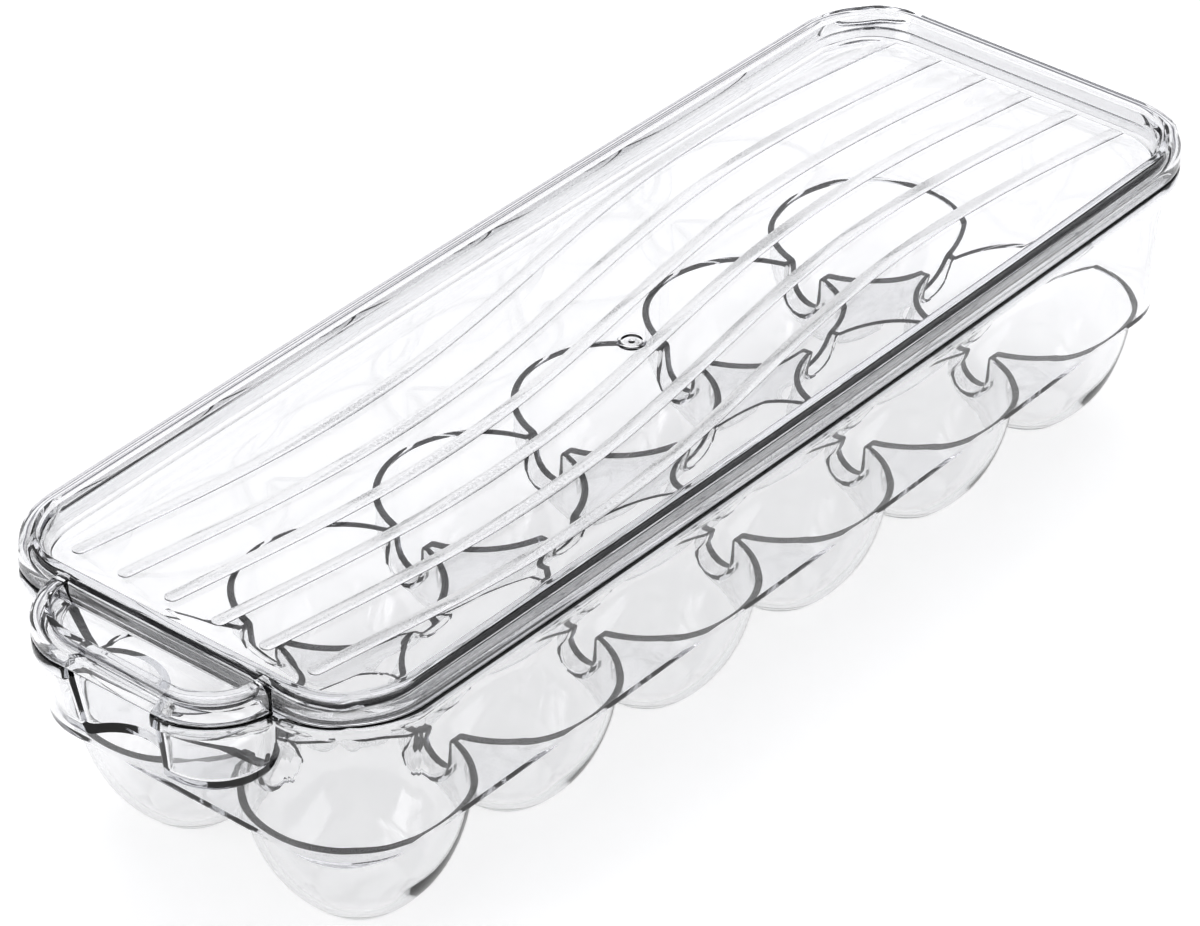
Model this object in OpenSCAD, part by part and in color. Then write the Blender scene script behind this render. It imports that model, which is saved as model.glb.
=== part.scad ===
// Covered egg tray for a refrigerator: a clear moulded tray with two rows of
// egg cups hanging from its floor, a grip pocket with a finger scoop at one
// end, and a clear lid that rests on the tray's rim and lifts straight off.
// The tray stands on the flat feet of its cups. X runs along the tray with
// the grip at -X, Y runs across it, and the origin is the centre of the box
// that holds the whole object, on the surface it stands on.

/* [Egg cups] */
// Number of cups along each row
cups_in_row = 6; // [3:1:8]
// Distance between cup centres along a row
pitch_x = 50; // [49:0.5:60]
// Distance between the two rows
pitch_y = 50.5; // [49:0.5:60]
// Inside radius of a cup at its mouth
cup_r = 23.7; // [20:0.1:24.2]
// Radius of the curve that a cup's inside wall follows downwards
cup_curve_r = 40; // [36:0.5:60]
// Height of the floor between the cups above the feet
floor_h = 31.5; // [26:0.5:38]
// Width of the chamfer round a cup's mouth
mouth_chamfer = 0.8; // [0.2:0.1:1.2]

/* [Notches between cups] */
// Width of the rounded notch between two cups
notch_w = 9.4; // [6:0.2:12]
// Depth of the notch below the floor
notch_d = 12; // [8:0.5:16]

/* [Tray walls] */
// Thickness of the moulded plastic
wall_t = 1.8; // [1.2:0.1:2.4]
// Height of the tray's rim above the floor
wall_h = 39.7; // [28:0.1:60]
// How far the walls lean out between the floor and the rim
wall_lean = 3.4; // [1:0.1:6]
// Gap between the end cups' mouths and the foot of the end walls
end_gap = 2.6; // [1:0.1:12]
// Gap between the cups' mouths and the foot of the side walls
side_gap = 0.85; // [0.2:0.05:12]
// Outside corner radius at the rim
corner_r = 23; // [16:0.5:32]

/* [Tray rim] */
// How far the rim's flange stands out from the wall
flange_w = 1.6; // [1:0.1:3]
// Height of the flange
flange_h = 3.5; // [2:0.1:6]

/* [Grip pocket] */
// How far the grip stands out from the end of the rim
grip_reach = 16.8; // [12:0.1:20]
// Outside radius of the grip's two rounded corners at the rim
grip_r = 18; // [16:0.5:22]
// Length of the straight front between the two rounded corners
grip_front = 29; // [24:0.5:40]
// Depth of the grip pocket below the rim, outside
grip_d = 20.2; // [14:0.1:28]
// How far the grip's walls lean out between its bottom and the rim
grip_lean = 3.2; // [1:0.1:4]
// Radius of the finger scoop in the grip's front
scoop_r = 12.5; // [9:0.1:13.5]
// Distance of the scoop's centre in front of the grip
scoop_out = 0.5; // [0:0.1:2]

/* [Lid] */
// Thickness of the lid's plastic
lid_t = 1.8; // [1.2:0.1:2.4]
// Height of the lid's rim above the tray's rim
lid_h = 6.4; // [4:0.1:10]
// Width of the lid's raised rim
lid_rim_w = 8; // [7:0.1:12]
// Radius of the rounded outer top edge of the lid's rim
lid_round = 3.2; // [2:0.1:3.6]
// Width of the flat land on top of the lid's rim
lid_land = 1.4; // [0.6:0.1:2]
// Depth of the lid's flat panel below the top of its rim
panel_d = 6.6; // [4:0.1:9]
// Depth of the rib below the lid's rim that centres it in the tray
rib_d = 1.5; // [0.8:0.1:3]
// Thickness of that rib
rib_t = 1.2; // [0.8:0.1:1.6]
// Gap between that rib and the tray's wall
lid_gap = 0.4; // [0.2:0.1:0.8]
// Diameter of the small round mark in the middle of the panel
gate_d = 7; // [4:0.5:12]
// Height of that mark
gate_h = 0.6; // [0.3:0.1:1]

/* [Hidden] */
$fn = 96;
// how far cuts run past a face, and pieces that join run into each other
over = 1;
join = 0.1;
clear = [0.88, 0.91, 0.94, 0.45];

// heights
floor_z = floor_h;
floor_low_z = floor_z - wall_t;
rim_z = floor_z + wall_h;
flange_z = rim_z - flange_h;
grip_z = rim_z - grip_d;
lid_top_z = rim_z + lid_h;
panel_z = lid_top_z - panel_d;

// half sizes, first of the walls' inside at the floor, then of the rim
inside_x = (cups_in_row - 1) / 2 * pitch_x + cup_r + end_gap;
inside_y = pitch_y / 2 + cup_r + side_gap;
rim_out = wall_t + wall_lean + flange_w;
rim_x = inside_x + rim_out;
rim_y = inside_y + rim_out;

// the cup grid is off centre by half of the grip's reach
grid_x = grip_reach / 2;
grip_x = grid_x - rim_x - grip_reach + grip_r;
scoop_x = grip_x - grip_r - scoop_out;

// the cups' walls curve about this distance from a cup's axis, at floor level
cup_curve_x = cup_r - cup_curve_r;

// how far the troughs of the notches, and the notches, reach into the cups
trough_reach = 3.2;
notch_reach = 7;

// the slope of the lid's rim down to the panel, and how far its underside
// steps outwards from its upper edge
slope_a = atan((lid_rim_w - lid_round - lid_land) / panel_d);
slope_step = lid_t * (1 - sin(slope_a)) / cos(slope_a);

// the lid's ridge ends over the middle of the main rim's land, at the grip
grip_end = lid_round + lid_land / 2;

function cup_x(i) = grid_x + (i - (cups_in_row - 1) / 2) * pitch_x;
function row_y(side) = side * pitch_y / 2;

// Sweeps a section round the rectangle of the rim. The section's first
// coordinate is the distance out from a corner's centre, its second is Z.
module around_rim() {
    for (turn = [0, 90, 180, 270]) {
        run_x = (turn % 180 == 0 ? rim_x : rim_y) - corner_r;
        run_y = (turn % 180 == 0 ? rim_y : rim_x) - corner_r;
        translate([grid_x, 0, 0]) rotate(turn) translate([run_x, run_y, 0]) {
            rotate_extrude(angle = 90) children();
            rotate([90, 0, 0]) linear_extrude(2 * run_y) children();
        }
    }
}

// Sweeps a section round the grip, from inside the end of the tray and back.
module around_grip() {
    back = grid_x - rim_x + 2 * rim_out - grip_x;
    translate([grip_x, 0, 0]) rotate(180) {
        translate([0, grip_front / 2, 0]) rotate([90, 0, 0])
            linear_extrude(grip_front) children();
        for (flip = [0, 1]) mirror([0, flip, 0]) translate([0, grip_front / 2, 0]) {
            rotate_extrude(angle = 90) children();
            translate([-back, 0, 0]) rotate(90) rotate([90, 0, 0])
                linear_extrude(back) children();
        }
    }
}

// Fills the middle of the grip, between what the sweep leaves on both sides.
module grip_middle(z_low, z_high) {
    translate([grip_x, -grip_front / 2, z_low])
        cube([grid_x - rim_x + 2 * rim_out - grip_x, grip_front, z_high - z_low]);
}

// Everything beyond a distance inside the end of the rim at the grip
module beyond(inset) {
    translate([grip_x - 2 * grip_r, -rim_y, 0])
        cube([grid_x - rim_x + inset - grip_x + 2 * grip_r, 2 * rim_y, lid_top_z + over]);
}

// A flat plate with round corners, its edge a distance inside the rim.
module rounded_plate(inset, z_low, z_high) {
    r = corner_r - inset;
    translate([grid_x, 0, z_low]) linear_extrude(z_high - z_low) union() {
        square([2 * (rim_x - inset), 2 * (rim_y - corner_r)], center = true);
        square([2 * (rim_x - corner_r), 2 * (rim_y - inset)], center = true);
        for (sx = [-1, 1], sy = [-1, 1])
            translate([sx * (rim_x - corner_r), sy * (rim_y - corner_r)]) circle(r);
    }
}

// Section of the tray's wall with its flange, between two heights
module wall_section(z_low, z_high) {
    intersection() {
        polygon([
            [corner_r - rim_out, floor_low_z],
            [corner_r - rim_out + wall_t, floor_low_z],
            [corner_r - flange_w, flange_z],
            [corner_r, flange_z],
            [corner_r, rim_z],
            [corner_r - flange_w - wall_t, rim_z]
        ]);
        translate([0, z_low]) square([corner_r, z_high - z_low]);
    }
}

// Section of the grip: solid from its middle out, before it is hollowed
module grip_section() {
    polygon([
        [0, grip_z],
        [grip_r - flange_w - grip_lean, grip_z],
        [grip_r - flange_w, flange_z],
        [grip_r, flange_z],
        [grip_r, rim_z],
        [0, rim_z]
    ]);
}

// Section of the hollow in the grip
module pocket_section() {
    top_r = grip_r - flange_w - wall_t;
    polygon([
        [0, grip_z + wall_t],
        [top_r - grip_lean, grip_z + wall_t],
        [top_r, rim_z],
        [top_r, rim_z + over],
        [0, rim_z + over]
    ]);
}

// Half section of a cup: thick is 0 for its hollow and wall_t for its outside
module cup_half(thick) {
    intersection() {
        translate([cup_curve_x, floor_z]) circle(cup_curve_r + thick, $fn = 180);
        translate([0, wall_t - thick]) square([2 * cup_r, floor_z - wall_t + thick]);
    }
}

module cup_outside() {
    rotate_extrude() cup_half(wall_t);
}

module cup_hollow() {
    rotate_extrude() union() {
        cup_half(0);
        polygon([
            [0, floor_z - mouth_chamfer],
            [cup_r - join / 4, floor_z - mouth_chamfer],
            [cup_r + mouth_chamfer, floor_z],
            [cup_r + mouth_chamfer, floor_z + over],
            [0, floor_z + over]
        ]);
    }
}

// A rounded notch along X, thick is wall_t for the trough that lines it
module notch(half_len, thick) {
    top = thick > 0 ? floor_z - wall_t / 2 : floor_z + over;
    r = notch_w / 2;
    rotate([90, 0, 90]) translate([0, 0, -half_len]) linear_extrude(2 * half_len) union() {
        translate([0, floor_z - notch_d + r]) circle(r + thick);
        translate([-r - thick, floor_z - notch_d + r])
            square([2 * (r + thick), top - floor_z + notch_d - r]);
    }
}

module at_cups() {
    for (i = [0:cups_in_row - 1], side = [-1, 1])
        translate([cup_x(i), row_y(side), 0]) children();
}

// Notches along both rows, then those between the rows, each reaching a
// distance into the cups at its two ends
module notches(reach, thick) {
    for (i = [0:cups_in_row - 2], side = [-1, 1])
        translate([cup_x(i) + pitch_x / 2, row_y(side), 0])
            notch(pitch_x / 2 - cup_r + reach, thick);
    for (i = [0:cups_in_row - 1])
        translate([cup_x(i), 0, 0]) rotate(90) notch(pitch_y / 2 - cup_r + reach, thick);
}

// The grip before it is hollowed. Its back follows the lean of the end wall.
module grip_solid() {
    mid_low = grid_x - rim_x + rim_out - wall_t / 2;
    mid_high = grid_x - rim_x + flange_w + wall_t / 2;
    intersection() {
        union() {
            around_grip() grip_section();
            grip_middle(grip_z, rim_z);
        }
        translate([0, rim_y, 0]) rotate([90, 0, 0]) linear_extrude(2 * rim_y) polygon([
            [grip_x - 2 * grip_r, floor_low_z],
            [mid_low, floor_low_z],
            [mid_high, flange_z],
            [mid_high, rim_z],
            [grip_x - 2 * grip_r, rim_z]
        ]);
    }
}

// The pocket's hollow, which also opens the end wall to the tray
module grip_hollow() {
    around_grip() pocket_section();
    grip_middle(grip_z + wall_t, rim_z + over);
}

// The tray is one moulding. Its walls, its grip and its cups are separate
// nodes that meet face to face.
module tray_walls() color(clear) {
    difference() {
        around_rim() wall_section(floor_z, rim_z);
        grip_hollow();
    }
}

module grip_pocket() color(clear) {
    difference() {
        union() {
            difference() {
                grip_solid();
                grip_hollow();
            }
            // the wall behind the finger scoop
            intersection() {
                translate([scoop_x, 0, grip_z]) cylinder(r = scoop_r + wall_t, h = rim_z - grip_z);
                grip_solid();
            }
        }
        translate([scoop_x, 0, grip_z - over])
            cylinder(r = scoop_r, h = rim_z - grip_z + 2 * over);
        around_rim() wall_section(floor_z, rim_z);
    }
}

// The floor with all cups and notches, and the foot of the walls
module cup_floor() {
    difference() {
        union() {
            around_rim() wall_section(floor_low_z, floor_z);
            rounded_plate(rim_out - wall_t / 2, floor_low_z, floor_z);
            at_cups() cup_outside();
            notches(trough_reach, wall_t);
        }
        at_cups() cup_hollow();
        notches(notch_reach, 0);
    }
}

// Every second cup of a row, each with its share of the floor, which ends
// halfway to its neighbours
module cups(side, first) color(clear) {
    intersection() {
        cup_floor();
        for (i = [first:2:cups_in_row - 1]) {
            x_low = i == 0 ? grid_x - rim_x : cup_x(i) - pitch_x / 2;
            x_high = i == cups_in_row - 1 ? grid_x + rim_x : cup_x(i) + pitch_x / 2;
            translate([x_low, side > 0 ? 0 : -rim_y, 0]) cube([x_high - x_low, rim_y, floor_z]);
        }
    }
}

module cups_left_odd() cups(1, 0);
module cups_left_even() cups(1, 1);
module cups_right_odd() cups(-1, 0);
module cups_right_even() cups(-1, 1);

// Section of the lid's raised rim, filled, with an outside radius r. Its inner
// side slopes down to a plate whose top is at a depth below the rim's.
module ridge_section(r, depth) {
    width = lid_round + lid_land + depth * tan(slope_a);
    low = lid_top_z - depth - lid_t;
    union() {
        translate([r - lid_round, lid_top_z - lid_round]) circle(lid_round);
        translate([r - lid_round, rim_z]) square([lid_round, lid_h - lid_round]);
        polygon([
            [r - lid_round, low],
            [r - lid_round, lid_top_z],
            [r - lid_round - lid_land, lid_top_z],
            [r - width, lid_top_z - depth],
            [r - width, low]
        ]);
    }
}

// Section of the channel under that rim
module channel_section(r, depth) {
    width = lid_round + lid_land + depth * tan(slope_a) - slope_step;
    low = lid_top_z - depth - lid_t;
    union() {
        translate([r - lid_round, lid_top_z - lid_round]) circle(lid_round - lid_t);
        translate([r - lid_round, low - over])
            square([lid_round - lid_t, lid_h - lid_round + rim_z - low + over]);
        polygon([
            [r - lid_round, low - over],
            [r - lid_round, lid_top_z - lid_t],
            [r - lid_round - lid_land + slope_step, lid_top_z - lid_t],
            [r - width, low],
            [r - width, low - over]
        ]);
    }
}

// Section of the recess above the plate over the grip
module recess_section(r, depth) {
    polygon([
        [0, lid_top_z - depth],
        [r - lid_round - lid_land - depth * tan(slope_a), lid_top_z - depth],
        [r - lid_round - lid_land, lid_top_z],
        [r - lid_round - lid_land, lid_top_z + over],
        [0, lid_top_z + over]
    ]);
}

// Section of the rib under the lid's rim that centres it in the tray
module rib_section() {
    translate([corner_r - flange_w - wall_t - lid_gap - rib_t, rim_z - rib_d])
        square([rib_t, lid_h + rib_d - lid_t + join]);
}

// The lid over the grip: a plate with a raised rim round it
module lid_grip() {
    depth = lid_h - lid_t;
    intersection() {
        difference() {
            union() {
                around_grip() union() {
                    ridge_section(grip_r, depth);
                    translate([0, rim_z]) square([grip_r - lid_round, depth]);
                }
                grip_middle(rim_z, lid_top_z);
            }
            around_grip() recess_section(grip_r, depth);
            grip_middle(rim_z + lid_t, lid_top_z + over);
        }
        beyond(grip_end);
    }
}

module lid() color(clear) {
    difference() {
        union() {
            around_rim() ridge_section(corner_r, panel_d);
            rounded_plate(lid_rim_w - slope_step / 2, panel_z - lid_t, panel_z);
            lid_grip();
        }
        around_rim() channel_section(corner_r, panel_d);
        intersection() {
            around_grip() channel_section(grip_r, lid_h - lid_t);
            beyond(0);
        }
    }
    around_rim() rib_section();
    // the moulding mark in the middle of the panel
    translate([grid_x, 0, panel_z - lid_t / 2]) cylinder(d = gate_d, h = lid_t / 2 + gate_h);
}

tray_walls();
grip_pocket();
cups_left_odd();
cups_left_even();
cups_right_odd();
cups_right_even();
lid();
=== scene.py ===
# %% [markdown]
# # A clear egg holder tray
# The object is two clear plastic mouldings: a tray with twelve hanging egg
# cups and a grip at one end, and a lid that lifts off. The exact CAD solids
# carry the sizes and the motion. Here each moulding gets the soft edges, the
# bowed sides and the clear plastic of a real one, faintly blue in its edges.

# %% Load the CAD frame
from math import asin, atan2, cos, hypot, pi, radians, sin, sqrt

import bpy
import numpy as np
from mathutils import Matrix, Vector


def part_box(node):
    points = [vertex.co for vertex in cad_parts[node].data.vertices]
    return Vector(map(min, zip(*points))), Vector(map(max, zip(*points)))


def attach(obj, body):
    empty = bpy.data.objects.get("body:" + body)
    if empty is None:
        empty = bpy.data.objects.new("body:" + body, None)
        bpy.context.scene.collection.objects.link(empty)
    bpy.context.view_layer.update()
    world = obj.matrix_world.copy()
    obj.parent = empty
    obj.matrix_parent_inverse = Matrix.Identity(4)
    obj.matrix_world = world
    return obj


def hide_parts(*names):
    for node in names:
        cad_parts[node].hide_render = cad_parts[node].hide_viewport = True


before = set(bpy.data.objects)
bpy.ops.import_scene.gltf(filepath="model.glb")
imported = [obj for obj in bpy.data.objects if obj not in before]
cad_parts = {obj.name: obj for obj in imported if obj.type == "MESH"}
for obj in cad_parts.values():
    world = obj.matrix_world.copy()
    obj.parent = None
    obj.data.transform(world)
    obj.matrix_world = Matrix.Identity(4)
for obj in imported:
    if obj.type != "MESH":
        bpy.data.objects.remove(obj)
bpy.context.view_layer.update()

MM = 0.001
CUP_NODES = ["cups_left_odd", "cups_left_even", "cups_right_odd", "cups_right_even"]
walls_box, grip_box, lid_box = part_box("tray_walls"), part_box("grip_pocket"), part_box("lid")

# %% [markdown]
# The sizes that matter are read off the CAD boxes, so that the pieces go where
# the solids are. The rest are the moulding's own sizes, in millimetres.

# %% Sizes of the tray and the lid
LOW_X = grip_box[0][0] / MM
HIGH_X = walls_box[1][0] / MM
RIM_Y = walls_box[1][1] / MM
RIM_Z = walls_box[1][2] / MM
LID_TOP = lid_box[1][2] / MM

PITCH_X, PITCH_Y = 50.0, 50.5
CUPS = 6
WALL = 1.8
FLOOR_Z = 31.5
UNDER_Z = FLOOR_Z - WALL
CUP_R, CURVE_R = 23.7, 40.0
NOTCH_W, NOTCH_D = 9.4, 12.0
LEAN = 3.4
FLANGE_W, FLANGE_H = 1.6, 3.5
RIM_OUT = WALL + LEAN + FLANGE_W
CORNER_R = 23.0
GRIP_REACH = 16.8
GRIP_R, GRIP_FRONT, GRIP_D, GRIP_LEAN = 18.0, 29.0, 20.2, 3.2
SCOOP_R, SCOOP_OUT = 12.5, 0.5

MID_X = (LOW_X + GRIP_REACH + HIGH_X) / 2
RIM_X = HIGH_X - MID_X
IN_X, IN_Y = RIM_X - RIM_OUT, RIM_Y - RIM_OUT
IN_R = CORNER_R - RIM_OUT
END_X = MID_X - RIM_X
GRIP_X = END_X - GRIP_REACH + GRIP_R
SCOOP_X = GRIP_X - GRIP_R - SCOOP_OUT
print("rim half sizes", RIM_X, RIM_Y, "grip corner at", GRIP_X)

# %% [markdown]
# A moulding's skin is made of strips, each a flat grid laid over a surface the
# way a sheet is laid over a form. The grid is a plain primitive, and every
# corner of it is then moved to its own spot. Strips that share an edge share
# the spots on it, so joining them and merging doubles closes the skin.

# %% Lay grids and join them
MERGE = 0.004


def alone(piece):
    bpy.ops.object.select_all(action="DESELECT")
    piece.select_set(True)
    bpy.context.view_layer.objects.active = piece


def laid_grid(name, spots):
    """A grid with its corners on spots[row][column], in millimetres."""
    spots = np.array(spots, dtype=float)
    rows, cols = spots.shape[0] - 1, spots.shape[1] - 1
    bpy.ops.object.select_all(action="DESELECT")
    bpy.ops.mesh.primitive_grid_add(x_subdivisions=cols, y_subdivisions=rows, size=2)
    piece = bpy.context.object
    piece.name = name
    flat = np.empty(len(piece.data.vertices) * 3)
    piece.data.vertices.foreach_get("co", flat)
    flat = flat.reshape(-1, 3)
    col = np.rint((flat[:, 0] + 1) / 2 * cols).astype(int)
    row = np.rint((flat[:, 1] + 1) / 2 * rows).astype(int)
    piece.data.vertices.foreach_set("co", (spots[row, col] * MM).ravel())
    piece.data.update()
    return piece


def joined(name, pieces):
    """Joins pieces into one closed skin whose faces point outwards."""
    bpy.ops.object.select_all(action="DESELECT")
    for piece in pieces:
        piece.select_set(True)
    bpy.context.view_layer.objects.active = pieces[0]
    bpy.ops.object.join()
    whole = bpy.context.object
    whole.name = name
    bpy.ops.object.mode_set(mode="EDIT")
    bpy.ops.mesh.select_all(action="SELECT")
    bpy.ops.mesh.remove_doubles(threshold=MERGE * MM)
    bpy.ops.mesh.dissolve_degenerate(threshold=MERGE * MM)
    bpy.ops.mesh.select_all(action="SELECT")
    bpy.ops.mesh.normals_make_consistent(inside=False)
    bpy.ops.object.mode_set(mode="OBJECT")
    return whole


def check_closed(piece):
    """Prints how many of a piece's edges don't have exactly two faces."""
    edge_at = {tuple(sorted(edge.vertices)): edge.index for edge in piece.data.edges}
    uses = np.zeros(len(piece.data.edges), dtype=int)
    for face in piece.data.polygons:
        for key in face.edge_keys:
            uses[edge_at[key]] += 1
    print(piece.name, len(piece.data.polygons), "faces,", int((uses != 2).sum()), "open edges")


print("strips that share an edge merge within", MERGE, "mm")

# %% [markdown]
# A cup's wall follows one arc from its mouth down to a flat foot. The mouth is
# only lightly rounded, so light that enters the floor beside it runs down
# inside the cup's wall, and that draws the dark ring round each cup. Between
# two cups a U-shaped notch is cut, lined with a trough of the same thickness.

# %% Cup wall, mouth and notch curves
LIP = 0.8
NOTCH_LIP = 1.5
QUARTER = [0, 22.5, 45, 67.5, 90]
SIDE_STEPS, WALL_STEPS = 15, 13
NOTCH_HEIGHTS = (26.1, 28.0)
TROUGH_STEPS = (0.6, 1.3, 2.1)


def wall_r(z, thick=0.0):
    """Radius of a cup's wall at a height: inside, or outside with thick."""
    return CUP_R - CURVE_R + sqrt((CURVE_R + thick) ** 2 - (FLOOR_Z - z) ** 2)


def wall_spots(angle, z, angle_low, z_low, thick):
    """Spots down a cup's wall, fanning out to an even spread at the foot."""
    reach = CURVE_R + thick
    turn, turn_low = asin((FLOOR_Z - z) / reach), asin((FLOOR_Z - z_low) / reach)
    spots = []
    for i in range(WALL_STEPS + 1):
        share = i / WALL_STEPS
        height = FLOOR_Z - reach * sin(turn + (turn_low - turn) * share)
        way = angle + (angle_low - angle) * share
        r = wall_r(height, thick)
        spots.append((r * cos(way), r * sin(way), height))
    return spots


def notch_curve(thick):
    """Half of the notch's U from its bottom up: (across, z, n across, n up)."""
    half = NOTCH_W / 2 + thick
    centre = FLOOR_Z - NOTCH_D + NOTCH_W / 2
    curve = []
    for turn in QUARTER:
        a = radians(turn)
        curve.append((half * sin(a), centre - half * cos(a), -sin(a), cos(a)))
    if thick:
        for z in (*NOTCH_HEIGHTS, UNDER_Z):
            curve.append((half, z, -1, 0))
        for across in TROUGH_STEPS:
            curve.append((half + across, UNDER_Z, 0, 1))
        return curve
    for z in (*NOTCH_HEIGHTS, FLOOR_Z - NOTCH_LIP):
        curve.append((half, z, -1, 0))
    for turn in (30, 60, 90):
        a = radians(turn)
        across = half + NOTCH_LIP - NOTCH_LIP * cos(a)
        curve.append((across, FLOOR_Z - NOTCH_LIP + NOTCH_LIP * sin(a), -cos(a), sin(a)))
    return curve


NOTCH_TOP, NOTCH_LINED = notch_curve(0.0), notch_curve(WALL)
print("cup mouth", round(2 * wall_r(FLOOR_Z), 2), "mm wide, foot", round(2 * wall_r(WALL), 2))

# %% [markdown]
# Each cup sits in its own rectangle of floor. Spokes run from the rectangle's
# edge over the floor, over the rounded lip and down the wall to the foot. A
# side that meets another cup has a notch in it, a side that meets the tray's
# wall has none, and the four end corners are round.

# %% Where a spoke starts on the edge of its rectangle
SPREAD = 1.1


def edge_spots(reach, half, kind, curve, level, other_wall):
    """For 16 spokes from a side's middle to its corner: (out, across, z, n across,
    n up, outward direction)."""
    spots = []
    if kind == "cup":
        for across, z, na, nu in curve:
            spots.append((reach, across, z, na, nu, (1, 0)))
        last, rest = curve[-1][0], SIDE_STEPS - len(curve) + 1
        for k in range(1, rest + 1):
            share = (k / rest) ** SPREAD
            spots.append((reach, last + (half - last) * share, level, 0, 1, (1, 0)))
        return spots
    if not other_wall:
        for k in range(SIDE_STEPS + 1):
            spots.append((reach, half * k / SIDE_STEPS, level, 0, 1, (1, 0)))
        return spots
    straight = half - IN_R
    total = straight + IN_R * pi / 4
    for k in range(SIDE_STEPS + 1):
        way = total * k / SIDE_STEPS
        if way <= straight:
            spots.append((reach, way, level, 0, 1, (1, 0)))
        else:
            a = (way - straight) / IN_R
            spots.append((reach - IN_R + IN_R * cos(a), straight + IN_R * sin(a),
                          level, 0, 1, (cos(a), sin(a))))
    return spots


FOOT_IN, FOOT_OUT = wall_r(WALL), wall_r(0.0, WALL)
FOOT_RING = 0.6
FLOOR_RIM = wall_r(UNDER_Z, WALL)
FOOT_TURN = 1.2
LEAST_GAP, HAIR_GAP, RIM_GAP = 0.05, 0.02, 0.1
LOOK_DOWN = 1.3


def inner_lean(z):
    return LEAN * (z - UNDER_Z) / (RIM_Z - UNDER_Z)


def outer_lean(z):
    return WALL + LEAN * (z - UNDER_Z) / (RIM_Z - FLANGE_H - UNDER_Z)


FOOT_ARC = outer_lean(UNDER_Z + FOOT_TURN) - FOOT_TURN


def upper_spoke(spot, share, kind):
    """One spoke of the tray's upper skin, from the edge to the cup's middle."""
    out, across, z, na, nu, (ox, oy) = spot
    low_angle = share * pi / 4
    rows = []
    if kind == "cup" and (z < FLOOR_Z - 1e-6 or share * SIDE_STEPS < len(NOTCH_TOP)):
        below = wall_r(max(z - LOOK_DOWN, 1))
        drop = min(LIP, out - sqrt(max(below ** 2 - across ** 2, 1)))
        end_across, end_z = across - na * drop, z - nu * drop
        wall_out = sqrt(wall_r(end_z) ** 2 - end_across ** 2)
        drop = min(LIP, out - wall_out)
        rows.append((out, across, z))
        for turn in QUARTER:
            a = radians(turn)
            fall = drop * (1 - cos(a))
            rows.append((wall_out + drop * (1 - sin(a)), across - na * fall, z - nu * fall))
        end_across, end_z = across - na * drop, z - nu * drop
        wall_out = sqrt(wall_r(end_z) ** 2 - end_across ** 2)
        angle = atan2(end_across, wall_out)
    else:
        if kind != "cup":
            out, across = out + ox * inner_lean(z), across + oy * inner_lean(z)
        far, angle = hypot(out, across), atan2(across, out)
        end_z = FLOOR_Z - LIP
        near = wall_r(end_z)
        breadth = min(LIP, far - near - HAIR_GAP)
        rows.append((out, across, z))
        for turn in QUARTER:
            a = radians(turn)
            r = near + breadth * (1 - sin(a))
            rows.append((r * cos(angle), r * sin(angle), z - LIP * (1 - cos(a))))
    rows += wall_spots(angle, end_z, low_angle, WALL, 0.0)[1:]
    for r in (FOOT_RING * FOOT_IN, 0.0):
        rows.append((r * cos(low_angle), r * sin(low_angle), WALL))
    return rows


def lower_spoke(spot, share, kind):
    """One spoke of the tray's lower skin."""
    out, across, z, na, nu, (ox, oy) = spot
    low_angle = share * pi / 4
    if kind == "cup":
        if share * SIDE_STEPS < len(NOTCH_LINED):
            wall_out = sqrt(wall_r(z, WALL) ** 2 - across ** 2)
            wall_out = min(wall_out, out - LEAST_GAP)
            angle = atan2(across, wall_out)
            rows = [(out, across, z), ((out + wall_out) / 2, across, z)]
            return rows + lower_wall(angle, z, low_angle)
        angle = atan2(across, out)
        far = hypot(out, across)
    else:
        step = foot_step(spot)
        out, across = out + ox * step, across + oy * step
        z = UNDER_Z + FOOT_TURN - sqrt(max(FOOT_TURN ** 2 - (step - FOOT_ARC) ** 2, 0))
        angle, far = atan2(across, out), hypot(out, across)
        if far < FLOOR_RIM + RIM_GAP:
            return [(out, across, z)] * 3 + lower_wall(angle, UNDER_Z, low_angle)[1:]
    half = (far + FLOOR_RIM) / 2
    rows = [(out, across, z), (half * cos(angle), half * sin(angle), UNDER_Z)]
    return rows + lower_wall(angle, UNDER_Z, low_angle)


def lower_wall(angle, z, low_angle):
    rows = wall_spots(angle, z, low_angle, 0.0, WALL)
    for r in (FOOT_RING * FOOT_OUT, 0.0):
        rows.append((r * cos(low_angle), r * sin(low_angle), 0.0))
    return rows


def foot_step(spot):
    """How far outside the inner foot line the lower skin's edge lies."""
    out, across, z, na, nu, (ox, oy) = spot
    if (ox, oy) != (1, 0):
        return FOOT_ARC
    clear = FLOOR_RIM ** 2 - across ** 2
    return max(FOOT_ARC, sqrt(clear) - out) if clear > 0 else FOOT_ARC


print("foot", round(FOOT_IN, 2), "mm inside and", round(FOOT_OUT, 2), "outside, in radius")

# %% [markdown]
# The tray's wall leans outwards, turns over at the rim and comes down outside
# as a flange and a wall, to a rounded bottom edge. Its section is a list of
# spots, each a distance out from the inner foot line and a height.

# %% Section of the tray's wall
def arc_spots(centre, radius, start, stop, steps):
    """Spots on an arc, in degrees from the outward direction."""
    turns = [radians(start + (stop - start) * k / steps) for k in range(steps + 1)]
    return [(centre[0] + radius * cos(a), centre[1] + radius * sin(a)) for a in turns]


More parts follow.
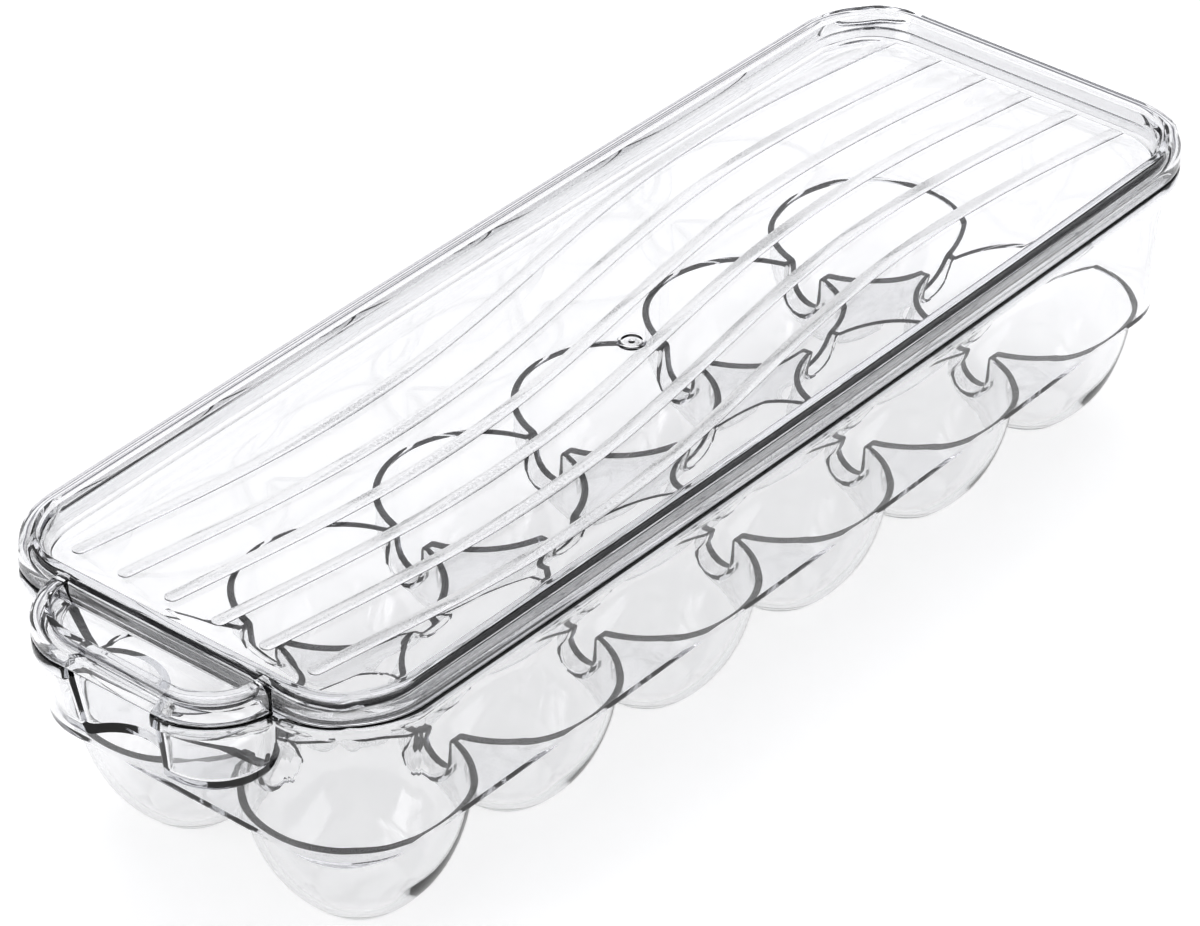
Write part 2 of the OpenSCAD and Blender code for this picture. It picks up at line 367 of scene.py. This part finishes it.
FLANGE_Z = RIM_Z - FLANGE_H
TOP_TURN, FLANGE_TURN, UNDER_TURN, INSIDE_TURN = 0.5, 0.8, 0.5, 0.35
WALL_HEIGHTS = (40.0, 50.0, 60.0)
WALL_SECTION = [(inner_lean(z), z) for z in (FLOOR_Z, *WALL_HEIGHTS, RIM_Z - TOP_TURN)]
WALL_SECTION += arc_spots((LEAN + TOP_TURN, RIM_Z - TOP_TURN), TOP_TURN, 150, 90, 2)
WALL_SECTION += arc_spots((RIM_OUT - FLANGE_TURN, RIM_Z - FLANGE_TURN), FLANGE_TURN, 90, 0, 3)
WALL_SECTION += arc_spots((RIM_OUT - UNDER_TURN, FLANGE_Z + UNDER_TURN), UNDER_TURN, 0, -90, 2)
inside = (LEAN + WALL + INSIDE_TURN, FLANGE_Z - INSIDE_TURN)
WALL_SECTION += arc_spots(inside, INSIDE_TURN, 90, 175, 2)
WALL_SECTION += [(outer_lean(z), z) for z in (*WALL_HEIGHTS[::-1], UNDER_Z + FOOT_TURN)]
WALL_SECTION += arc_spots((FOOT_ARC, UNDER_Z + FOOT_TURN), FOOT_TURN, -30, -60, 1)
print("wall section:", len(WALL_SECTION), "spots")


def wall_columns(edge):
    """One column of the wall's section for each spot on a wall's edge."""
    columns = []
    for spot in edge:
        out, across, z, na, nu, (ox, oy) = spot
        column = [(out + ox * step, across + oy * step, height) for step, height in WALL_SECTION]
        step = foot_step(spot)
        height = UNDER_Z + FOOT_TURN - sqrt(max(FOOT_TURN ** 2 - (step - FOOT_ARC) ** 2, 0))
        column.append((out + ox * step, across + oy * step, height))
        columns.append(column)
    return columns


# %% [markdown]
# Each of the twelve rectangles is laid in four quarters. A quarter has an upper
# strip and a lower one, and a strip of the tray's wall where it borders on it.
# All of them together make one closed skin.

# %% Build the skin of the tray's floor, cups and walls
def cell_strips(i, side):
    """The strips of one cup's rectangle: upper skin, lower skin and wall."""
    centre_x = MID_X + (i - (CUPS - 1) / 2) * PITCH_X
    centre_y = side * PITCH_Y / 2
    east = (PITCH_X / 2, "cup") if i < CUPS - 1 else (MID_X + IN_X - centre_x, "wall")
    west = (PITCH_X / 2, "cup") if i > 0 else (centre_x - MID_X + IN_X, "wall")
    outer, inner = (IN_Y - PITCH_Y / 2, "wall"), (PITCH_Y / 2, "cup")
    strips = []
    for x_way, x_side in ((1, east), (-1, west)):
        for y_way, y_side in ((side, outer), (-side, inner)):
            upper, lower = [], []
            for swap, (own, other) in enumerate(((x_side, y_side), (y_side, x_side))):
                reach, kind = own
                half = other[0]
                both = kind == "wall" and other[1] == "wall"
                top_half, low_half = half, half
                if kind == "cup" and other[1] == "wall":
                    top_half, low_half = half + inner_lean(FLOOR_Z), half + FOOT_ARC
                tops = edge_spots(reach, top_half, kind, NOTCH_TOP, FLOOR_Z, both)
                lows = edge_spots(reach, low_half, kind, NOTCH_LINED, UNDER_Z, both)

                def placed(spot):
                    a, b = (spot[1], spot[0]) if swap else (spot[0], spot[1])
                    return (centre_x + x_way * a, centre_y + y_way * b, spot[2])

                steps = [k / SIDE_STEPS for k in range(SIDE_STEPS + 1)]
                up = [[placed(s) for s in upper_spoke(t, k, kind)] for t, k in zip(tops, steps)]
                low = [[placed(s) for s in lower_spoke(t, k, kind)] for t, k in zip(lows, steps)]
                upper.append(up)
                lower.append(low)
                if kind == "wall":
                    wall = [[placed(s) for s in column] for column in wall_columns(tops)]
                    strips.append(laid_grid("wall_strip", wall))
            strips.append(laid_grid("upper_strip", upper[0] + upper[1][-2::-1]))
            strips.append(laid_grid("lower_strip", lower[0] + lower[1][-2::-1]))
    return strips


all_strips = []
for i in range(CUPS):
    for side in (-1, 1):
        all_strips += cell_strips(i, side)
tray = joined("tray_moulding", all_strips)
check_closed(tray)

# %% [markdown]
# The grip is a box with two round corners and a scoop for a fingertip in its
# front. One outline is drawn for each height, from one side of the tray's end
# wall round to the other, and the outlines are skinned like a loft. The pocket
# inside it is a second loft. Booleans then add the one and cut the other.

# %% Loft the grip and its pocket
SCOOP_EDGE = 0.8
CORNER_STEPS, EDGE_STEPS, SCOOP_STEPS = 14, 4, 12


def grip_outline(r, z, back_x, scoop=0.0):
    """One outline of the grip at a height, from its left back to its right back."""
    half = GRIP_FRONT / 2
    start = asin(max(0, min(1, (GRIP_X - back_x) / r)))
    line = [(max(back_x, GRIP_X - r * sin(start)), half + r * cos(start))]
    for k in range(CORNER_STEPS + 1):
        a = start + (pi / 2 - start) * k / CORNER_STEPS
        line.append((GRIP_X - r * sin(a), half + r * cos(a)))
    front = GRIP_X - r
    if scoop:
        cross = asin((front - SCOOP_X) / scoop)
        turn = SCOOP_EDGE / scoop
        edge_y = scoop * cos(cross)
        corner = (front, edge_y)
        first = (front, min(edge_y + SCOOP_EDGE, half - HAIR_GAP))
        last = (SCOOP_X + scoop * sin(cross + turn), scoop * cos(cross + turn))
        for k in range(EDGE_STEPS + 1):
            s = k / EDGE_STEPS
            before, at, after = (1 - s) ** 2, 2 * s * (1 - s), s * s
            line.append(tuple(before * first[n] + at * corner[n] + after * last[n] for n in (0, 1)))
        for k in range(1, SCOOP_STEPS + 1):
            a = cross + turn + (pi / 2 - cross - turn) * k / SCOOP_STEPS
            line.append((SCOOP_X + scoop * sin(a), scoop * cos(a)))
    else:
        line.append((front, 0.0))
    line += [(x, -y) for x, y in line[-2::-1]]
    return [(x, y, z) for x, y in line]


def loft(name, outlines, close_back=True):
    """Skins outlines of equal length into a closed solid."""
    rows = [line + [line[0]] for line in outlines] if close_back else outlines
    piece = laid_grid(name, rows)
    alone(piece)
    bpy.ops.object.mode_set(mode="EDIT")
    bpy.ops.mesh.select_all(action="SELECT")
    bpy.ops.mesh.remove_doubles(threshold=MERGE / 2 * MM)
    bpy.ops.mesh.select_all(action="SELECT")
    bpy.ops.mesh.fill_holes(sides=0)
    bpy.ops.mesh.select_all(action="SELECT")
    bpy.ops.mesh.normals_make_consistent(inside=False)
    bpy.ops.object.mode_set(mode="OBJECT")
    return piece


def combine(piece, other, way):
    """Adds or cuts another solid, which is used up."""
    alone(piece)
    tool = piece.modifiers.new(way, "BOOLEAN")
    tool.operation, tool.object, tool.solver = way, other, "EXACT"
    bpy.ops.object.modifier_apply(modifier=tool.name)
    bpy.data.objects.remove(other, do_unlink=True)


def end_wall_middle(z):
    """X of the middle of the end wall's thickness at a height."""
    step = (inner_lean(z) + min(outer_lean(z), LEAN + WALL)) / 2
    return MID_X - IN_X - step


GRIP_Z = RIM_Z - GRIP_D
BOTTOM_R = GRIP_R - FLANGE_W - GRIP_LEAN


def grip_side(z):
    return BOTTOM_R + GRIP_LEAN * (z - GRIP_Z) / (FLANGE_Z - GRIP_Z)


def pocket_side(z):
    return BOTTOM_R - WALL + GRIP_LEAN * (z - GRIP_Z - WALL) / (RIM_Z - GRIP_Z - WALL)


TINY = 0.01
GRIP_TURN, GRIP_FLARE = 1.2, 0.2
POCKET_TURN, POCKET_LIP, POCKET_LOW = 1.5, 0.5, 54.3
GRIP_HEIGHTS, POCKET_HEIGHTS = (56.0, 60.0, 64.0), (58.0, 63.0, 67.0)
grip_section = arc_spots((BOTTOM_R - GRIP_TURN + GRIP_FLARE, GRIP_Z + GRIP_TURN), GRIP_TURN, -90, 0, 4)
grip_section += [(grip_side(z), z) for z in GRIP_HEIGHTS]
inside = (GRIP_R - FLANGE_W + INSIDE_TURN, FLANGE_Z - INSIDE_TURN)
grip_section += arc_spots(inside, INSIDE_TURN, 175, 90, 2)
grip_section += arc_spots((GRIP_R - UNDER_TURN, FLANGE_Z + UNDER_TURN), UNDER_TURN, -90, 0, 2)
grip_section += arc_spots((GRIP_R - FLANGE_TURN, RIM_Z - FLANGE_TURN), FLANGE_TURN, 0, 90, 3)
grip_section = [(r, z - TINY) for r, z in grip_section]
grip = loft("grip", [grip_outline(r, z, end_wall_middle(z), SCOOP_R) for r, z in grip_section])
check_closed(grip)

pocket_foot = (pocket_side(POCKET_LOW) - POCKET_TURN, GRIP_Z + WALL + POCKET_TURN)
pocket_section = arc_spots(pocket_foot, POCKET_TURN, -90, 0, 4)
pocket_section += [(pocket_side(z), z) for z in POCKET_HEIGHTS]
pocket_top = pocket_side(RIM_Z) + POCKET_LIP
pocket_section += arc_spots((pocket_top, RIM_Z - POCKET_LIP), POCKET_LIP, 180, 90, 2)
pocket_section += [(pocket_top, RIM_Z + 1)]
pocket = loft("pocket", [grip_outline(r, z, END_X + 2 * RIM_OUT, SCOOP_R + WALL)
                         for r, z in pocket_section])
check_closed(pocket)
combine(tray, grip, "UNION")
combine(tray, pocket, "DIFFERENCE")
check_closed(tray)

# %% [markdown]
# The lid's section runs all the way round its rim: over the rounded top, down
# the outer skirt, back up inside it, round the rib that drops into the tray,
# and down again to the panel. The panel is the flat face that closes it.

# %% Sweep the lid's rim
BEND_STOPS, LONG_STOPS, SHORT_STOPS = 20, 36, 8
LID_T = 1.8
LID_ROUND, LID_LAND, LID_RIM_W, PANEL_D = 3.2, 1.4, 8.0, 6.6
LID_GAP, RIB_DROP = 0.12, 1.5
LID_LOW = RIM_Z + LID_GAP
PANEL_Z = LID_TOP - PANEL_D
SLOPE = (LID_RIM_W - LID_ROUND - LID_LAND) / PANEL_D
SLOPE_STEP = LID_T * (sqrt(1 + SLOPE ** 2) - SLOPE)
RIB_OUT, RIB_T, RIB_LOW = 3.8, 1.2, RIM_Z - RIB_DROP


def under_slope(inset):
    """Height of the slope's underside at a distance inside the rim."""
    return LID_TOP - LID_T - (inset - LID_ROUND - LID_LAND + SLOPE_STEP) / SLOPE


def mirrored(spots):
    return [(-x, z) for x, z in spots]


LAND_IN = LID_ROUND + LID_LAND
SKIRT_TURN, RIB_TURN = 0.4, 0.3
PANEL_BEND = ((0.5, 0.0), (0.0, 0.14), (-0.35, 0.55))
LAND_BEND = ((0.3, -0.42), (0.05, -0.1), (-0.35, 0.0))
lid_section = [(LID_RIM_W + inset, PANEL_Z + rise) for inset, rise in PANEL_BEND]
lid_section += [(LAND_IN + inset, LID_TOP + rise) for inset, rise in LAND_BEND]
lid_section += mirrored(arc_spots((-LID_ROUND, LID_TOP - LID_ROUND), LID_ROUND, 90, 0, 7))
skirt_z = LID_LOW + SKIRT_TURN
lid_section += mirrored(arc_spots((-SKIRT_TURN, skirt_z), SKIRT_TURN, 0, -90, 2))
lid_section += mirrored(arc_spots((-LID_T + SKIRT_TURN, skirt_z), SKIRT_TURN, -90, -180, 2))
lid_section += mirrored(arc_spots((-LID_ROUND, LID_TOP - LID_ROUND), LID_ROUND - LID_T, 0, 90, 4))
rib_in, rib_z = RIB_OUT + RIB_T, RIB_LOW + SKIRT_TURN
lid_section += [(RIB_OUT, under_slope(RIB_OUT)), (RIB_OUT, rib_z), (RIB_OUT + RIB_TURN, RIB_LOW),
                (rib_in - RIB_TURN, RIB_LOW), (rib_in, rib_z), (rib_in, under_slope(rib_in)),
                (LID_RIM_W - SLOPE_STEP, PANEL_Z - LID_T)]
print("lid section:", len(lid_section), "spots")


def rim_path():
    """Corner centre and outward direction for each stop round the rim."""
    stops = []
    long_half, short_half = RIM_X - CORNER_R, RIM_Y - CORNER_R
    for quarter, (cx, cy) in enumerate(((1, 1), (-1, 1), (-1, -1), (1, -1))):
        for k in range(BEND_STOPS + 1):
            a = (quarter + k / BEND_STOPS) * pi / 2
            stops.append((MID_X + cx * long_half, cy * short_half, cos(a), sin(a)))
        steps = LONG_STOPS if quarter % 2 == 0 else SHORT_STOPS
        nx, ny = ((0, 1), (-1, 0), (0, -1), (1, 0))[quarter]
        x0, y0 = MID_X + cx * long_half, cy * short_half
        x1, y1 = ((-long_half, short_half), (-long_half, -short_half),
                  (long_half, -short_half), (long_half, short_half))[quarter]
        for k in range(1, steps):
            t = k / steps
            stops.append((x0 + (MID_X + x1 - x0) * t, y0 + (y1 - y0) * t, nx, ny))
    return stops


rim_stops = rim_path()


def swept_round(name, section):
    """Sweeps (inset, z) spots round the rim; the ends of the section are filled flat."""
    rows = []
    for inset, z in section:
        r = CORNER_R - inset
        line = [(cx + nx * r, cy + ny * r, z) for cx, cy, nx, ny in rim_stops]
        rows.append(line + [line[0]])
    return loft(name, rows, close_back=False)


lid = swept_round("lid_moulding", lid_section)
check_closed(lid)

# %% [markdown]
# Over the grip the lid has a plate of its own with the same raised rim round
# it. It is a block with a recess above and a channel below, and it ends inside
# the main rim's plastic, so the two join without filling the main channel.

# %% Add the lid's grip
LID_GRIP_TOP = LID_TOP - TINY
PLATE_Z = RIM_Z + LID_T


def lid_wall_middle(z):
    """X of the middle of the main rim's plastic at a height."""
    bend = LID_TOP - LID_ROUND
    if z <= bend:
        return END_X + LID_T / 2
    middle = LID_ROUND - LID_T / 2
    if z < bend + middle:
        return END_X + LID_ROUND - sqrt(max(middle ** 2 - (z - bend) ** 2, 0))
    return END_X + LID_ROUND + LID_LAND / 2


block_foot = (GRIP_R - SKIRT_TURN, LID_LOW + TINY + SKIRT_TURN)
block_section = arc_spots(block_foot, SKIRT_TURN, -90, 0, 2)
block_section += arc_spots((GRIP_R - LID_ROUND, LID_GRIP_TOP - LID_ROUND), LID_ROUND, 0, 90, 7)
block = loft("lid_grip", [grip_outline(r, z, lid_wall_middle(z)) for r, z in block_section])

RECESS_BEND = ((-0.25, -0.5), (-0.05, -0.12), (0.3, 0.02), (0.3, 1))
top_r = GRIP_R - LAND_IN
low_r = top_r - (LID_TOP - PLATE_Z) * SLOPE
recess_section = [(low_r - inset, PLATE_Z + rise) for inset, rise in PANEL_BEND]
recess_section += [(top_r + step, LID_TOP + rise) for step, rise in RECESS_BEND]
recess = loft("recess", [grip_outline(r, z, END_X + 2 * RIM_OUT) for r, z in recess_section])
combine(block, recess, "DIFFERENCE")

under_r = GRIP_R - LID_T
bend = (GRIP_R - LID_ROUND, LID_TOP - LID_ROUND)
channel_section = [(under_r, LID_LOW - 1), (under_r, LID_LOW + 1.5)]
channel_section += arc_spots(bend, LID_ROUND - LID_T, 0, 90, 4)
slope_top = GRIP_R - LAND_IN + SLOPE_STEP
channel_section += [(slope_top, LID_TOP - LID_T),
                    (slope_top - SLOPE * (LID_TOP - LID_T - LID_LOW + 1), LID_LOW - 1)]
lines = [grip_outline(r, z, END_X) for r, z in channel_section]
channel = loft("channel", lines + [lines[0]], close_back=False)
check_closed(channel)
combine(block, channel, "DIFFERENCE")
combine(lid, block, "UNION")
check_closed(lid)

# %% [markdown]
# Six wavy stripes run along the panel, raised by a fifth of a millimetre and
# frosted. Each is one outline, sunk into the panel and added to it, so the lid
# stays a single solid with no faces left inside it.

# %% Raise the stripes and the moulding mark on the panel
STRIPES, STRIPE_STEP, STRIPE_W, STRIPE_H = 6, 13.9, 3.7, 0.2
STRIPE_SINK, STRIPE_EDGE, STRIPE_BEVEL, STRIPE_GAP = 0.6, 0.08, 0.12, 0.6
WAVE_STEPS, TIP_STEPS = 60, 8
WAVE, WAVE_L, WAVE_X, WAVE_Y = 7.0, 276.0, 17.4, 1.8
STRIPE_X0, STRIPE_X1 = -134.4, MID_X + RIM_X - LID_RIM_W - STRIPE_GAP


def stripe_y(x):
    return WAVE_Y + WAVE * sin(2 * pi * (x - WAVE_X) / WAVE_L)


def stripe_outline(offset, shrink, z):
    """A band along the wave with a round tip at the grip's end."""
    half = STRIPE_W / 2 - shrink
    middle = STRIPE_W / 2
    line = []
    for k in range(WAVE_STEPS + 1):
        x = STRIPE_X1 - shrink + (STRIPE_X0 + middle - STRIPE_X1 + shrink) * k / WAVE_STEPS
        line.append((x, stripe_y(x) + offset + middle + half))
    x0 = STRIPE_X0 + middle
    for k in range(1, TIP_STEPS):
        a = pi / 2 + pi * k / TIP_STEPS
        line.append((x0 + half * cos(a), stripe_y(x0) + offset + middle + half * sin(a)))
    line += [(x, y - 2 * half) for x, y in line[WAVE_STEPS::-1]]
    return [(x, y, z) for x, y in line]


STRIPE_TOP = PANEL_Z + STRIPE_H
levels = ((0.0, PANEL_Z - STRIPE_SINK), (0.0, STRIPE_TOP - STRIPE_EDGE), (STRIPE_BEVEL, STRIPE_TOP))
for i in range(STRIPES):
    offset = (i - (STRIPES - 1) / 2) * STRIPE_STEP
    combine(lid, loft("stripe", [stripe_outline(offset, sh, z) for sh, z in levels]), "UNION")

MARK_SECTION = ((3.5, -0.5), (3.5, 0.35), (3.2, 0.6), (2.6, 0.6), (2.3, 0.35), (2.0, 0.25),
                (0.8, 0.25), (0.6, 0.5), (0.3, 0.6))
MARK_STEPS = 40
turns = [2 * pi * k / MARK_STEPS for k in range(MARK_STEPS + 1)]
mark_rows = [[(MID_X + r * cos(a), r * sin(a), PANEL_Z + z) for a in turns] for r, z in MARK_SECTION]
combine(lid, loft("mark", mark_rows, close_back=False), "UNION")
check_closed(lid)

# %% [markdown]
# A long moulding bows outwards a little along its sides, because its middle
# cools last. The exact solids are straight at the bowed width, so the ends are
# drawn in by just over a millimetre, on the tray and on the lid alike.

# %% Bow the long sides
BOW = 1.25
BOW_FROM, BOW_WIDTH = 44, 6
SMOOTH_BELOW = 38


def bow(piece):
    count = len(piece.data.vertices)
    spots = np.empty(count * 3)
    piece.data.vertices.foreach_get("co", spots)
    spots = spots.reshape(-1, 3)
    share = np.clip((np.abs(spots[:, 1]) / MM - BOW_FROM) / BOW_WIDTH, 0, 1)
    share = share * share * (3 - 2 * share)
    along = ((spots[:, 0] / MM - MID_X) / IN_X) ** 2
    spots[:, 1] -= np.sign(spots[:, 1]) * BOW * MM * along * share
    piece.data.vertices.foreach_set("co", spots.ravel())
    piece.data.update()


for piece in (tray, lid):
    bow(piece)
    alone(piece)
    bpy.ops.object.shade_smooth_by_angle(angle=radians(SMOOTH_BELOW))
print("bowed by", BOW, "mm at the ends")

# %% [markdown]
# Clear styrene is colourless when thin and slightly blue where light runs a
# long way through it, so its tint is in its volume. Its surface is never quite
# perfect: it has a faint ripple from the mould and hair-thin scuffs from being
# handled. Both are made once, in a group that the two finishes share, with the
# grain of the frosted stripes.

# %% The group for moulding ripple and handling scuffs
def new_group(name, inputs, outputs):
    group = bpy.data.node_groups.new(name, "ShaderNodeTree")
    for kind, way in ((inputs, "INPUT"), (outputs, "OUTPUT")):
        for label, value in kind:
            socket = group.interface.new_socket(
                name=label, in_out=way, socket_type="NodeSocketFloat")
            if way == "INPUT":
                socket.default_value = value
    return group, group.nodes.new("NodeGroupInput"), group.nodes.new("NodeGroupOutput")


def node(tree, kind, **settings):
    made = tree.nodes.new(kind)
    for name, value in settings.items():
        if name in made.inputs.keys():
            made.inputs[name].default_value = value
        else:
            setattr(made, name, value)
    return made


RIPPLE_SCALE, PATCH_SCALE, GRAIN_SCALE = 45.0, 28.0, 1500.0
SCUFF_SPREAD, SCUFF_TURN = (30, 900, 400), 24
SCUFF_LINES, SCUFF_PATCHES = (0.62, 0.74), (0.48, 0.66)
GRAIN_ROUGH = 0.45

handled, group_in, group_out = new_group(
    "handled_plastic",
    (("Ripple", 0.2), ("Scuffs", 0.1), ("Frost", 0.0)), (("Roughness", 0), ("Height", 0)))
place = node(handled, "ShaderNodeTexCoord")
ripple = node(handled, "ShaderNodeTexNoise", Scale=RIPPLE_SCALE, Detail=1.0)
scuff_way = node(handled, "ShaderNodeMapping")
scuff_way.inputs["Scale"].default_value = SCUFF_SPREAD
scuff_way.inputs["Rotation"].default_value = (0, 0, radians(SCUFF_TURN))
scuff = node(handled, "ShaderNodeTexNoise", Scale=1.0, Detail=3.0)
patch = node(handled, "ShaderNodeTexNoise", Scale=PATCH_SCALE, Detail=2.0)
line_mask = node(handled, "ShaderNodeMapRange")
patch_mask = node(handled, "ShaderNodeMapRange")
for mask, (low, high) in ((line_mask, SCUFF_LINES), (patch_mask, SCUFF_PATCHES)):
    mask.inputs["From Min"].default_value = low
    mask.inputs["From Max"].default_value = high
speckle = node(handled, "ShaderNodeTexNoise", Scale=GRAIN_SCALE, Detail=2.0)
links = handled.links
for texture in (ripple, patch, speckle):
    links.new(place.outputs["Object"], texture.inputs["Vector"])
links.new(place.outputs["Object"], scuff_way.inputs["Vector"])
links.new(scuff_way.outputs["Vector"], scuff.inputs["Vector"])
links.new(scuff.outputs["Fac"], line_mask.inputs["Value"])
links.new(patch.outputs["Fac"], patch_mask.inputs["Value"])


def math_of(tree, way, first, second):
    made = tree.nodes.new("ShaderNodeMath")
    made.operation = way
    for socket, source in zip(made.inputs, (first, second)):
        if isinstance(source, (int, float)):
            socket.default_value = source
        else:
            tree.links.new(source, socket)
    return made.outputs[0]


lines_seen = math_of(handled, "MULTIPLY", line_mask.outputs["Result"], patch_mask.outputs["Result"])
lines_rough = math_of(handled, "MULTIPLY", lines_seen, group_in.outputs["Scuffs"])
grain = math_of(handled, "MULTIPLY", speckle.outputs["Fac"], group_in.outputs["Frost"])
grain_rough = math_of(handled, "MULTIPLY", grain, GRAIN_ROUGH)
links.new(math_of(handled, "ADD", lines_rough, grain_rough), group_out.inputs["Roughness"])
waves = math_of(handled, "MULTIPLY", ripple.outputs["Fac"], group_in.outputs["Ripple"])
links.new(math_of(handled, "ADD", waves, grain), group_out.inputs["Height"])
print(handled.name, "has", len(handled.nodes), "nodes")

# %% [markdown]
# The tray and the lid are the same clear plastic. The frost of the stripes is
# part of the lid's own material: it sits wherever the surface is level with
# the stripes' tops, so it follows them exactly. Two materials on one closed
# skin would upset the volume, which has to be left through the material that
# it was entered by.

# %% The clear finish and the one with frosted stripes
STYRENE_IOR, CLEAR = 1.52, (0.99, 0.99, 0.99, 1)
RIPPLE, SCUFFS = 0.2, 0.12
RELIEF, RELIEF_DEPTH = 0.5, 0.03 * MM
TINT, TINT_DENSITY = (0.63, 0.64, 0.67, 1), 50.0
FROST_REACH = 0.05 * MM


def plastic(name, frost_z=None):
    """Clear styrene; at the height frost_z, in metres, its surface is frosted."""
    finish = bpy.data.materials.new(name)
    finish.use_nodes = True
    tree = finish.node_tree
    shader = tree.nodes["Principled BSDF"]
    shader.inputs["Base Color"].default_value = CLEAR
    shader.inputs["Transmission Weight"].default_value = 1.0
    shader.inputs["IOR"].default_value = STYRENE_IOR
    worn = tree.nodes.new("ShaderNodeGroup")
    worn.node_tree = handled
    worn.inputs["Ripple"].default_value = RIPPLE
    worn.inputs["Scuffs"].default_value = SCUFFS
    worn.inputs["Frost"].default_value = 0.0
    if frost_z:
        spot = node(tree, "ShaderNodeTexCoord")
        axes = node(tree, "ShaderNodeSeparateXYZ")
        level = node(tree, "ShaderNodeMath", operation="COMPARE")
        level.inputs[1].default_value = frost_z
        level.inputs[2].default_value = FROST_REACH
        tree.links.new(spot.outputs["Object"], axes.inputs[0])
        tree.links.new(axes.outputs["Z"], level.inputs[0])
        tree.links.new(level.outputs[0], worn.inputs["Frost"])
    tree.links.new(worn.outputs["Roughness"], shader.inputs["Roughness"])
    relief = node(tree, "ShaderNodeBump", Strength=RELIEF, Distance=RELIEF_DEPTH)
    tree.links.new(worn.outputs["Height"], relief.inputs["Height"])
    tree.links.new(relief.outputs["Normal"], shader.inputs["Normal"])
    tint = node(tree, "ShaderNodeVolumeAbsorption", Density=TINT_DENSITY)
    tint.inputs["Color"].default_value = TINT
    tree.links.new(tint.outputs["Volume"], tree.nodes["Material Output"].inputs["Volume"])
    return finish


for piece, finish in ((tray, plastic("clear_styrene")),
                      (lid, plastic("striped_styrene", STRIPE_TOP * MM))):
    piece.data.materials.clear()
    piece.data.materials.append(finish)
    print(piece.name, "is", finish.name)

# %% [markdown]
# The tray rides on its own body and the lid on the one that lifts off. The
# tray stands for six CAD nodes and the lid for one. Those stay behind them for
# the physics.

# %% Hang the pieces on the frame
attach(tray, "tray")
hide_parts("tray_walls", "grip_pocket", *CUP_NODES)
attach(lid, "lid")
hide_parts("lid")
print("pieces:", tray.name, lid.name)

# %% [markdown]
# Clear plastic shows what is behind it and around it. It stands on a pale,
# softly glowing table in a darker room, so its flat walls stay bright and only
# its edges, which bend the room into view, turn dark. Large soft lights make
# the white streaks along the rims.

# %% Table and lights
TABLE_SIZE, TABLE_Z = 6.0, -0.0004
TABLE_COLOUR, TABLE_ROUGH, TABLE_GLOW = (0.45, 0.45, 0.45, 1), 0.9, 0.78
GAMMA = 0.8
ROOM_COLOUR, ROOM_STRENGTH = (0.30, 0.30, 0.325, 1), 1.15
LIT_SPOT = Vector((0, 0, 0.04))
LIGHTS = (("over", (0.1, 0.2, 1.5), (1.4, 1.0), 8),
          ("back", (0.95, 0.79, 0.85), (1.6, 1.2), 4.5),
          ("left", (-1.3, 0.5, 0.7), (0.5, 1.2), 4),
          ("front", (0.5, -1.4, 0.55), (1.8, 0.5), 3))

bpy.ops.object.select_all(action="DESELECT")
bpy.ops.mesh.primitive_plane_add(size=TABLE_SIZE, location=(0, 0, TABLE_Z))
table = bpy.context.object
table.name = "table"
table_top = bpy.data.materials.new("pale_table")
table_top.use_nodes = True
surface = table_top.node_tree.nodes["Principled BSDF"]
surface.inputs["Base Color"].default_value = TABLE_COLOUR
surface.inputs["Roughness"].default_value = TABLE_ROUGH
surface.inputs["Emission Color"].default_value = (1, 1, 1, 1)
surface.inputs["Emission Strength"].default_value = TABLE_GLOW
table.data.materials.append(table_top)

scene = bpy.context.scene
scene.view_settings.view_transform = "Standard"
scene.view_settings.gamma = GAMMA
world = bpy.data.worlds.new("room")
scene.world = world
world.use_nodes = True
room = world.node_tree.nodes["Background"]
room.inputs["Color"].default_value = ROOM_COLOUR
room.inputs["Strength"].default_value = ROOM_STRENGTH


def soft_light(name, spot, size, power):
    lamp = bpy.data.lights.new(name, "AREA")
    lamp.shape, lamp.size, lamp.size_y = "RECTANGLE", size[0], size[1]
    lamp.energy = power
    holder = bpy.data.objects.new(name, lamp)
    scene.collection.objects.link(holder)
    holder.location = spot
    way = LIT_SPOT - Vector(spot)
    holder.rotation_euler = way.to_track_quat("-Z", "Y").to_euler()


for name, spot, size, power in LIGHTS:
    soft_light(name, spot, size, power)
print("table and", len(LIGHTS), "soft lights")

# %% [markdown]
# The camera looks down on the grip's end from the left, far away through a
# long lens, so the sides stay almost parallel. Clear plastic needs many
# bounces, because light crosses a dozen walls on its way to the table.

# %% Camera at the angle of view
AZIMUTH, ELEVATION = radians(-50.33), radians(34.36)
AIM = Vector((8.4, 0.0, 31.0))
ASIDE, ABOVE, DISTANCE = -7.32, 5.13, 1276.99
SENSOR, LENS, FAR_CLIP = 36.0, 162.81, 20
BOUNCES = 40
back = Vector((sin(AZIMUTH) * cos(ELEVATION), -cos(AZIMUTH) * cos(ELEVATION), sin(ELEVATION)))
right = Vector((0, 0, 1)).cross(back).normalized()
up = back.cross(right)
spot = AIM + right * ASIDE + up * ABOVE + back * DISTANCE
view = bpy.data.cameras.new("camera")
view.sensor_width, view.lens = SENSOR, LENS
view.clip_end = FAR_CLIP
camera = bpy.data.objects.new("camera", view)
scene.collection.objects.link(camera)
turn = Matrix((right, up, back)).transposed().to_4x4()
camera.matrix_world = Matrix.Translation(spot * MM) @ turn
scene.camera = camera
scene.cycles.max_bounces = BOUNCES
scene.cycles.transmission_bounces = BOUNCES
scene.cycles.transparent_max_bounces = BOUNCES
print("camera stands", round(spot.length), "mm from the middle of the tray's base")
